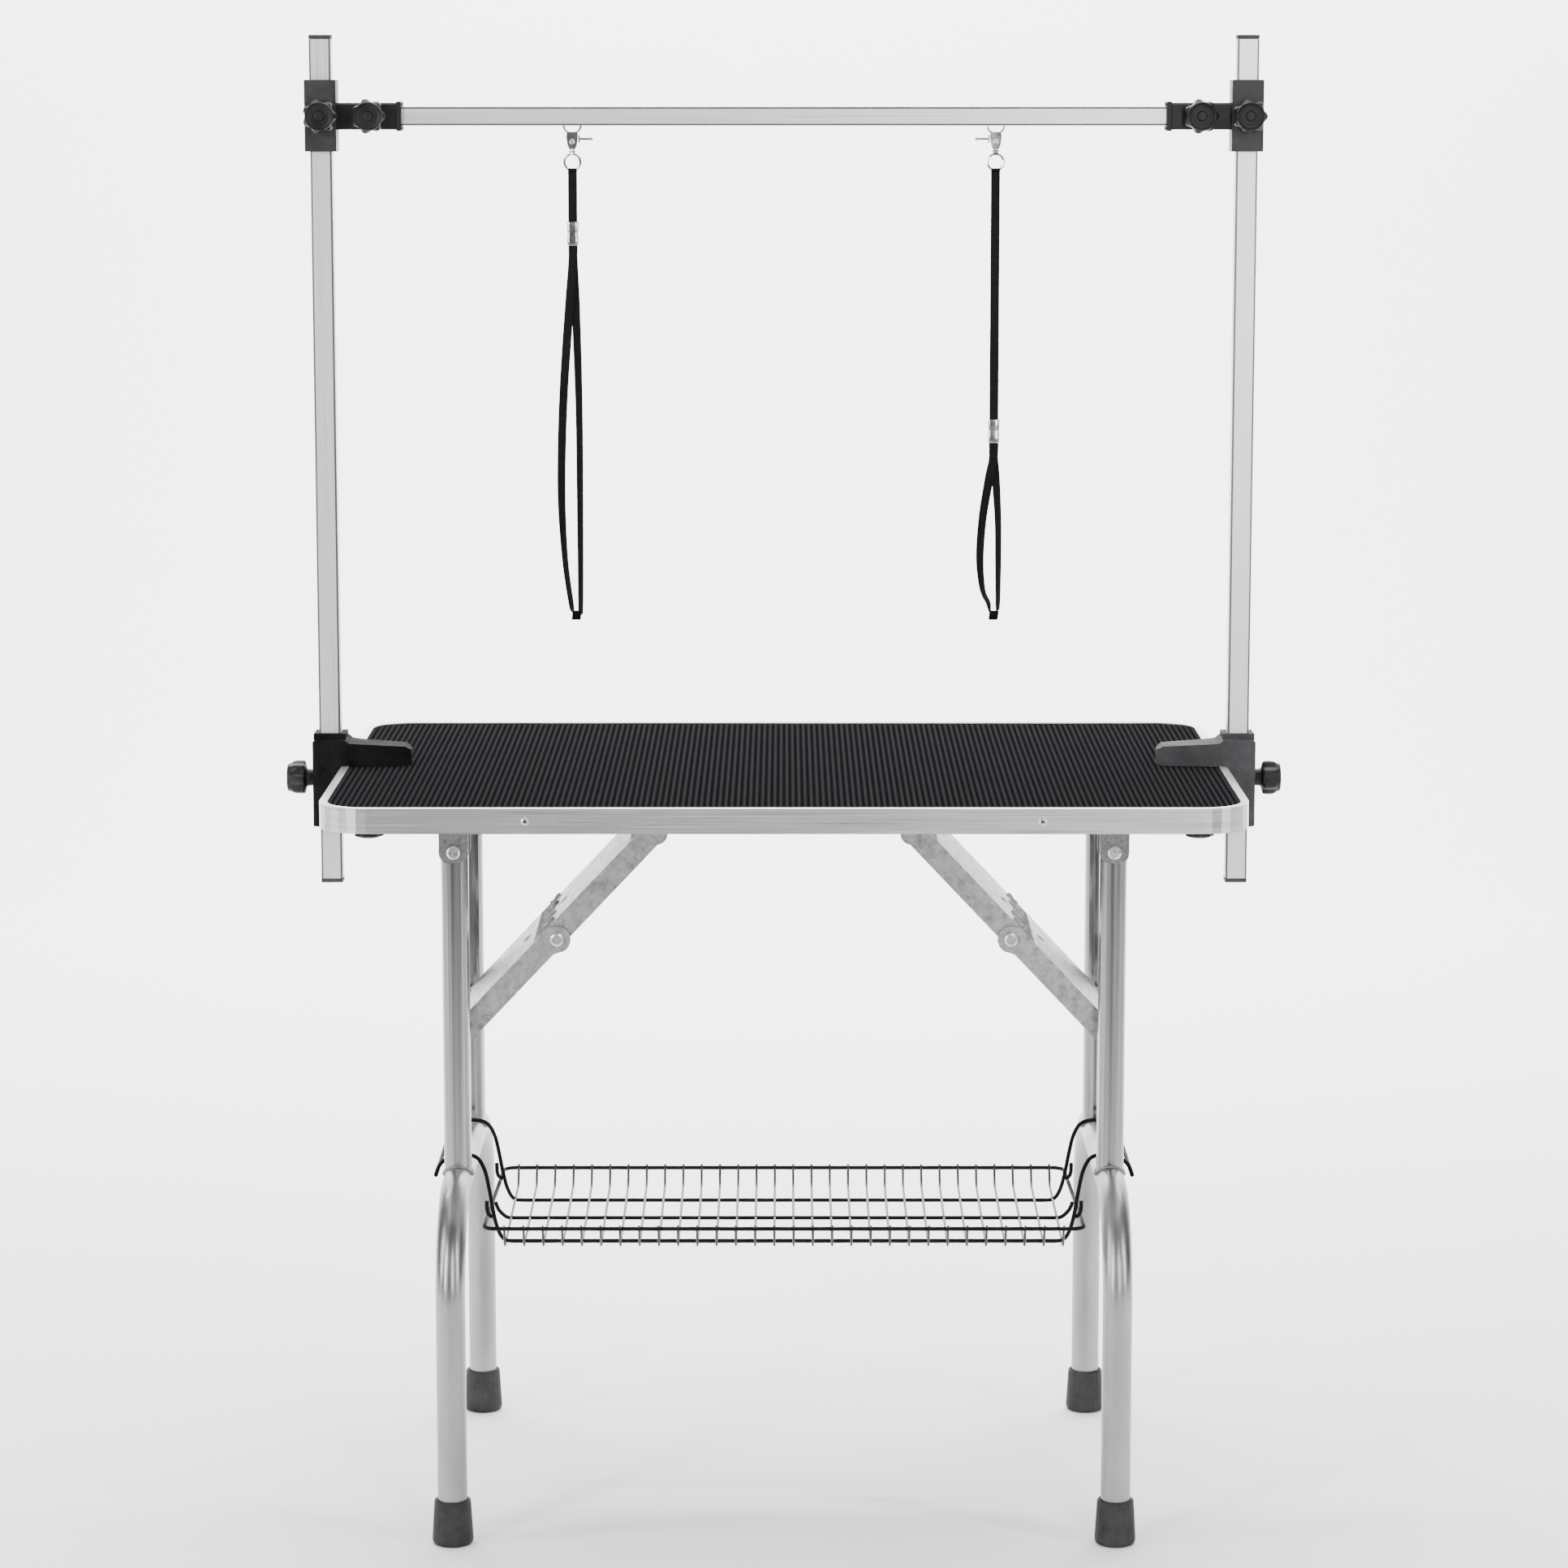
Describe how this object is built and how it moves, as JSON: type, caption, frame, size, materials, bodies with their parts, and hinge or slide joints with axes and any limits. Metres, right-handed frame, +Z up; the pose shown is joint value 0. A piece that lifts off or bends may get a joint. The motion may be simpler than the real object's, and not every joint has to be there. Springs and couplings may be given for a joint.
{
  "type": "grooming table",
  "caption": "Folding pet grooming table with a ribbed mat, hinged legs with folding braces, a wire tray and an overhead bar on posts with hanging loops.",
  "frame": {"origin": "on the floor, under the middle of the table top", "axes": "+Z up, +X to the right along the table's length, +Y to the back"},
  "size_m": [1.03, 0.61, 1.509],
  "materials": {
    "board": "pale laminate",
    "mat_rubber": "fine ribs",
    "trim_aluminium": "brushed",
    "leg_steel": "satin",
    "zinc_steel": "mottled galvanised",
    "post_aluminium": "light satin",
    "black_plastic": "fine texture",
    "foot_rubber": "matt",
    "tray_wire": "black coating",
    "chrome": "polished",
    "strap_nylon": "woven webbing"
  },
  "bodies": {
    "table": {"table_board": "board", "table_mat": "mat_rubber", "edge_trim": "trim_aluminium", "left_front_hinge_bracket": "zinc_steel", "left_rear_hinge_bracket": "zinc_steel", "right_front_hinge_bracket": "zinc_steel", "right_rear_hinge_bracket": "zinc_steel", "left_hinge_rod": "zinc_steel", "right_hinge_rod": "zinc_steel", "left_brace_bracket": "zinc_steel", "right_brace_bracket": "zinc_steel", "left_table_clamp": "black_plastic", "right_table_clamp": "black_plastic"},
    "left_leg": {"left_front_upper_tube": "leg_steel", "left_rear_upper_tube": "leg_steel", "left_lower_frame": "leg_steel", "left_front_foot": "foot_rubber", "left_rear_foot": "foot_rubber"},
    "left_brace_upper": {"left_brace_upper_link": "zinc_steel", "left_brace_elbow_pin": "zinc_steel"},
    "left_brace_lower": {"left_brace_lower_link": "zinc_steel"},
    "right_leg": {"right_front_upper_tube": "leg_steel", "right_rear_upper_tube": "leg_steel", "right_lower_frame": "leg_steel", "right_front_foot": "foot_rubber", "right_rear_foot": "foot_rubber"},
    "right_brace_upper": {"right_brace_upper_link": "zinc_steel", "right_brace_elbow_pin": "zinc_steel"},
    "right_brace_lower": {"right_brace_lower_link": "zinc_steel"},
    "tray": {"tray_basket": "tray_wire", "left_tray_hook": "tray_wire", "right_tray_hook": "tray_wire"},
    "left_post": {"left_post": "post_aluminium", "left_post_top_cap": "black_plastic", "left_post_bottom_cap": "black_plastic"},
    "right_post": {"right_post": "post_aluminium", "right_post_top_cap": "black_plastic", "right_post_bottom_cap": "black_plastic"},
    "crossbar": {"crossbar": "post_aluminium", "left_corner_clamp": "black_plastic", "right_corner_clamp": "black_plastic"},
    "left_post_knob": {"left_post_knob": "black_plastic"},
    "left_bar_knob": {"left_bar_knob": "black_plastic"},
    "left_clamp_knob": {"left_clamp_knob": "black_plastic"},
    "left_clamp_screw": {"left_clamp_screw": "black_plastic"},
    "left_snap": {"left_snap_hook": "chrome"},
    "left_trigger": {"left_snap_trigger": "chrome"},
    "left_noose": {"left_swivel_eye": "chrome", "left_noose_strap": "strap_nylon"},
    "left_slide": {"left_noose_slide": "chrome"},
    "right_post_knob": {"right_post_knob": "black_plastic"},
    "right_bar_knob": {"right_bar_knob": "black_plastic"},
    "right_clamp_knob": {"right_clamp_knob": "black_plastic"},
    "right_clamp_screw": {"right_clamp_screw": "black_plastic"},
    "right_snap": {"right_snap_hook": "chrome"},
    "right_trigger": {"right_snap_trigger": "chrome"},
    "right_noose": {"right_swivel_eye": "chrome", "right_noose_strap": "strap_nylon"},
    "right_slide": {"right_noose_slide": "chrome"}
  },
  "joints": [
    {"name": "left_leg_fold", "type": "hinge", "parent": "table", "child": "left_leg", "pos_m": [-0.335, 0, 0.69], "axis": [0, -1, 0], "range_deg": [0, 90], "deforming": ["left_tray_hook"]},
    {"name": "left_brace_top_turn", "type": "hinge", "parent": "table", "child": "left_brace_upper", "pos_m": [-0.13, 0, 0.702], "axis": [0, -1, 0], "range_deg": [-43, 0]},
    {"name": "left_brace_elbow_turn", "type": "hinge", "parent": "left_brace_upper", "child": "left_brace_lower", "pos_m": [-0.2327, 0, 0.59328], "axis": [0, -1, 0], "range_deg": [0, 177]},
    {"name": "right_leg_fold", "type": "hinge", "parent": "table", "child": "right_leg", "pos_m": [0.335, 0, 0.69], "axis": [0, 1, 0], "range_deg": [0, 84.5], "deforming": ["right_tray_hook"]},
    {"name": "right_brace_top_turn", "type": "hinge", "parent": "table", "child": "right_brace_upper", "pos_m": [0.13, 0, 0.702], "axis": [0, 1, 0], "range_deg": [-43, 0]},
    {"name": "right_brace_elbow_turn", "type": "hinge", "parent": "right_brace_upper", "child": "right_brace_lower", "pos_m": [0.2327, 0, 0.59328], "axis": [0, 1, 0], "range_deg": [0, 169]},
    {"name": "tray_lift", "type": "slide", "parent": "table", "child": "tray", "axis": [0, 0, 1], "range_m": [0, 0.05]},
    {"name": "left_post_height", "type": "slide", "parent": "table", "child": "left_post", "axis": [0, 0, 1], "range_m": [-0.02, 0.06]},
    {"name": "right_post_height", "type": "slide", "parent": "table", "child": "right_post", "axis": [0, 0, 1], "range_m": [-0.02, 0.06]},
    {"name": "crossbar_height", "type": "slide", "parent": "left_post", "child": "crossbar", "axis": [0, 0, 1], "range_m": [-0.1, 0.035]},
    {"name": "left_post_knob_turn", "type": "hinge", "parent": "crossbar", "child": "left_post_knob", "pos_m": [-0.47, -0.016, 1.4275], "axis": [0, -1, 0], "continuous": true},
    {"name": "left_bar_knob_turn", "type": "hinge", "parent": "crossbar", "child": "left_bar_knob", "pos_m": [-0.421, -0.0135, 1.4275], "axis": [0, -1, 0], "continuous": true},
    {"name": "left_clamp_knob_turn", "type": "hinge", "parent": "table", "child": "left_clamp_knob", "pos_m": [-0.4878, 0, 0.748], "axis": [-1, 0, 0], "continuous": true},
    {"name": "left_clamp_screw_turn", "type": "hinge", "parent": "table", "child": "left_clamp_screw", "pos_m": [-0.432, 0, 0.7], "axis": [0, 0, 1], "continuous": true},
    {"name": "left_noose_swing", "type": "hinge", "parent": "crossbar", "child": "left_snap", "pos_m": [-0.216, 0.014, 1.4235], "axis": [0, 1, 0], "range_deg": [-25, 25]},
    {"name": "left_trigger_pull", "type": "slide", "parent": "left_snap", "child": "left_trigger", "axis": [0, 0, -1], "range_m": [0, 0.004]},
    {"name": "left_swivel_turn", "type": "hinge", "parent": "left_snap", "child": "left_noose", "pos_m": [-0.216, 0.014, 1.3937], "axis": [0, 0, 1], "continuous": true},
    {"name": "left_noose_slide_travel", "type": "slide", "parent": "left_noose", "child": "left_slide", "axis": [0, 0, 1], "range_m": [0, 0.04]},
    {"name": "right_post_knob_turn", "type": "hinge", "parent": "crossbar", "child": "right_post_knob", "pos_m": [0.47, -0.016, 1.4275], "axis": [0, -1, 0], "continuous": true},
    {"name": "right_bar_knob_turn", "type": "hinge", "parent": "crossbar", "child": "right_bar_knob", "pos_m": [0.421, -0.0135, 1.4275], "axis": [0, -1, 0], "continuous": true},
    {"name": "right_clamp_knob_turn", "type": "hinge", "parent": "table", "child": "right_clamp_knob", "pos_m": [0.4878, 0, 0.748], "axis": [1, 0, 0], "continuous": true},
    {"name": "right_clamp_screw_turn", "type": "hinge", "parent": "table", "child": "right_clamp_screw", "pos_m": [0.432, 0, 0.7], "axis": [0, 0, 1], "continuous": true},
    {"name": "right_noose_swing", "type": "hinge", "parent": "crossbar", "child": "right_snap", "pos_m": [0.216, 0.014, 1.4235], "axis": [0, 1, 0], "range_deg": [-25, 25]},
    {"name": "right_trigger_pull", "type": "slide", "parent": "right_snap", "child": "right_trigger", "axis": [0, 0, -1], "range_m": [0, 0.004]},
    {"name": "right_swivel_turn", "type": "hinge", "parent": "right_snap", "child": "right_noose", "pos_m": [0.216, 0.014, 1.3937], "axis": [0, 0, 1], "continuous": true},
    {"name": "right_noose_slide_travel", "type": "slide", "parent": "right_noose", "child": "right_slide", "axis": [0, 0, 1], "range_m": [0, 0.2]}
  ],
  "couplings": [
    {"joint": "left_brace_top_turn", "follows": "left_leg_fold", "ratio": -0.46087},
    {"joint": "left_brace_elbow_turn", "follows": "left_leg_fold", "ratio": 1.9489},
    {"joint": "right_brace_top_turn", "follows": "right_leg_fold", "ratio": -0.48728},
    {"joint": "right_brace_elbow_turn", "follows": "right_leg_fold", "ratio": 1.9861},
    {"joint": "right_post_height", "follows": "left_post_height", "ratio": 1}
  ]
}
